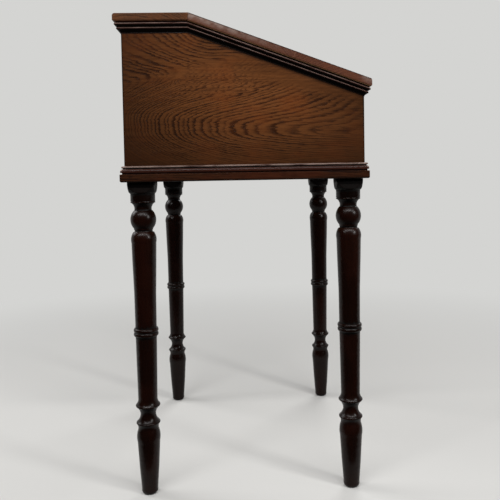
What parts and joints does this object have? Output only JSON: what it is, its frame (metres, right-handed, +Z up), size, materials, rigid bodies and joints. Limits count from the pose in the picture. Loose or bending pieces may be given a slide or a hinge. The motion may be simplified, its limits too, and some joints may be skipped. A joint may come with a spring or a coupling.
{
  "type": "standing desk",
  "caption": "Clerk's standing desk: a sloping lid hinged to a level shelf, over a deep board box with a moulded cornice, on a moulded base frame with tall turned legs.",
  "frame": {"origin": "On the floor under the middle of the desk.", "axes": "+X across the desk to the clerk's right, +Y away from the clerk to the back, +Z up."},
  "size_m": [0.738, 0.606, 1.1635],
  "materials": {
    "oak_panel": "dark stained, waxed",
    "oak_top": "dark stained, waxed",
    "oak_moulding": "dark stained, waxed",
    "oak_base": "dark stained, waxed",
    "oak_leg": "dark stained, polished",
    "oak_inner": "bare, aged",
    "brass": "aged",
    "steel": "dull"
  },
  "bodies": {
    "carcase": {"side_panel_left": "oak_panel", "side_panel_right": "oak_panel", "front_board": "oak_panel", "back_board": "oak_panel", "top_shelf": "oak_top", "cornice_level_left": "oak_moulding", "cornice_level_right": "oak_moulding", "cornice_raking_left": "oak_moulding", "cornice_raking_right": "oak_moulding", "cornice_back": "oak_moulding", "cornice_front": "oak_moulding", "base_moulding_left": "oak_moulding", "base_moulding_right": "oak_moulding", "base_moulding_front": "oak_moulding", "base_moulding_back": "oak_moulding", "base_rail_left": "oak_base", "base_rail_right": "oak_base", "base_rail_front": "oak_base", "base_rail_back": "oak_base", "leg_front_left": "oak_leg", "leg_front_right": "oak_leg", "leg_back_left": "oak_leg", "leg_back_right": "oak_leg", "floor_board_front": "oak_inner", "floor_board_middle": "oak_inner", "floor_board_back": "oak_inner", "crest_rail": "oak_inner", "shelf_glue_blocks": "oak_inner", "hinge_leaf_shelf_left": "brass", "hinge_leaf_shelf_right": "brass", "hinge_pin_left": "brass", "hinge_pin_right": "brass", "hinge_shelf_screws": "brass", "lock_case": "brass", "lock_screws": "brass", "escutcheon": "brass", "escutcheon_pins": "brass", "base_screws": "steel", "floor_nails": "steel"},
    "lid": {"lid_board_upper": "oak_top", "lid_board_middle": "oak_top", "lid_board_lower": "oak_top", "lid_batten_left": "oak_inner", "lid_batten_right": "oak_inner", "batten_screws": "steel", "hinge_leaf_lid_left": "brass", "hinge_leaf_lid_right": "brass", "hinge_lid_screws": "brass", "strike_plate": "brass", "strike_screws": "brass"},
    "lock_bolt": {"lock_bolt": "steel"}
  },
  "joints": [
    {"name": "lid_hinge", "type": "hinge", "parent": "carcase", "child": "lid", "pos_m": [0, 0.126, 1.16], "axis": [-1, 0, 0], "range_deg": [0, 198]},
    {"name": "bolt_slide", "type": "slide", "parent": "carcase", "child": "lock_bolt", "axis": [0, 0, 1], "range_m": [0, 0.012]}
  ]
}
